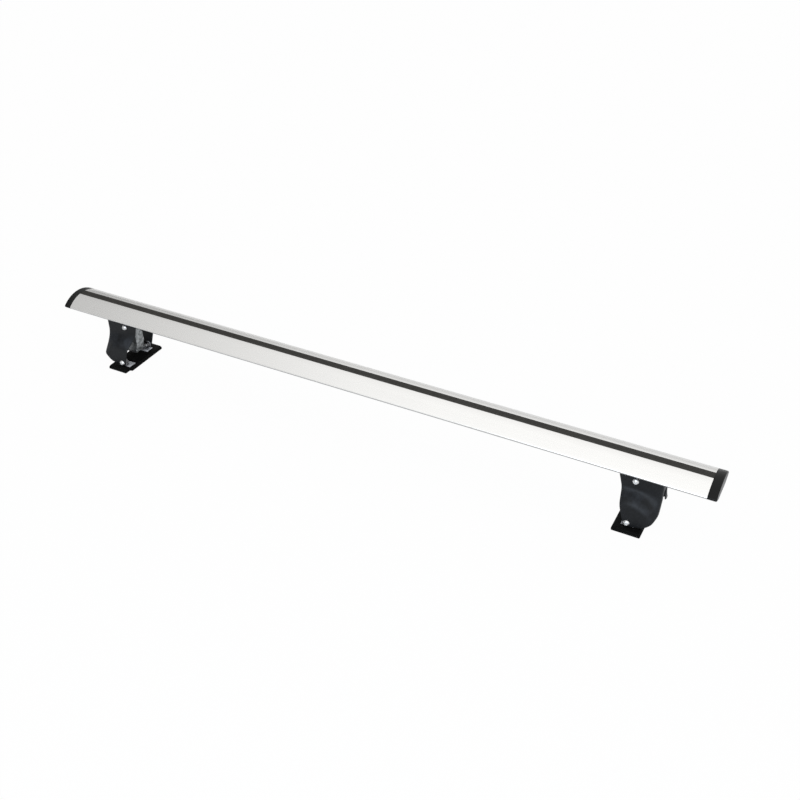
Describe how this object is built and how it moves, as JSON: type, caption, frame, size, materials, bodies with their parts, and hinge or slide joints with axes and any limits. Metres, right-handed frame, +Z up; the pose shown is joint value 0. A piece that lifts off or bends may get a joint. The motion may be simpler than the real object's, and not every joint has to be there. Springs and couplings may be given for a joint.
{
  "type": "roof rack crossbar",
  "caption": "Aero roof rack crossbar: an arched hollow aluminium bar with a rubber-filled T-slot, on black feet that slide along it and stand on tilting rubber pads.",
  "frame": {"origin": "on the floor under the middle of the bar", "axes": "+X along the bar to its right end, +Y across the bar to the rear, +Z up"},
  "size_m": [1.2, 0.1, 0.116],
  "materials": {
    "bar_aluminium": "satin anodised",
    "black_rubber": "matt, finely textured",
    "black_plastic": "satin moulded",
    "black_shell": "semi-gloss black coat",
    "zinc_sheet": "galvanised",
    "screw_steel": "bright zinc plated"
  },
  "bodies": {
    "bar": {"crossbar_extrusion": "bar_aluminium", "slot_strip": "black_rubber", "end_cap_left": "black_plastic", "end_cap_right": "black_plastic"},
    "foot_left": {"foot_shell_left": "black_shell", "bar_saddle_left": "black_plastic", "bar_bracket_left": "zinc_sheet", "t_bolt_left": "screw_steel", "t_bolt_washer_left": "screw_steel", "t_bolt_nut_left": "screw_steel", "upper_screws_left": "screw_steel", "upper_nuts_left": "screw_steel"},
    "pad_left": {"pad_carrier_left": "zinc_sheet", "rubber_pad_left": "black_rubber", "lower_screws_left": "screw_steel", "lower_nuts_left": "screw_steel"},
    "foot_right": {"foot_shell_right": "black_shell", "bar_saddle_right": "black_plastic", "bar_bracket_right": "zinc_sheet", "t_bolt_right": "screw_steel", "t_bolt_washer_right": "screw_steel", "t_bolt_nut_right": "screw_steel", "upper_screws_right": "screw_steel", "upper_nuts_right": "screw_steel"},
    "pad_right": {"pad_carrier_right": "zinc_sheet", "rubber_pad_right": "black_rubber", "lower_screws_right": "screw_steel", "lower_nuts_right": "screw_steel"}
  },
  "joints": [
    {"name": "foot_left_slide", "type": "slide", "parent": "bar", "child": "foot_left", "axis": [1, 0, 0], "range_m": [-0.03, 0.15]},
    {"name": "pad_left_tilt", "type": "hinge", "parent": "foot_left", "child": "pad_left", "pos_m": [-0.48, 0, 0.013], "axis": [0, 1, 0], "range_deg": [-6, 6]},
    {"name": "foot_right_slide", "type": "slide", "parent": "bar", "child": "foot_right", "axis": [-1, 0, 0], "range_m": [-0.03, 0.15]},
    {"name": "pad_right_tilt", "type": "hinge", "parent": "foot_right", "child": "pad_right", "pos_m": [0.48, 0, 0.013], "axis": [0, 1, 0], "range_deg": [-6, 6]}
  ]
}
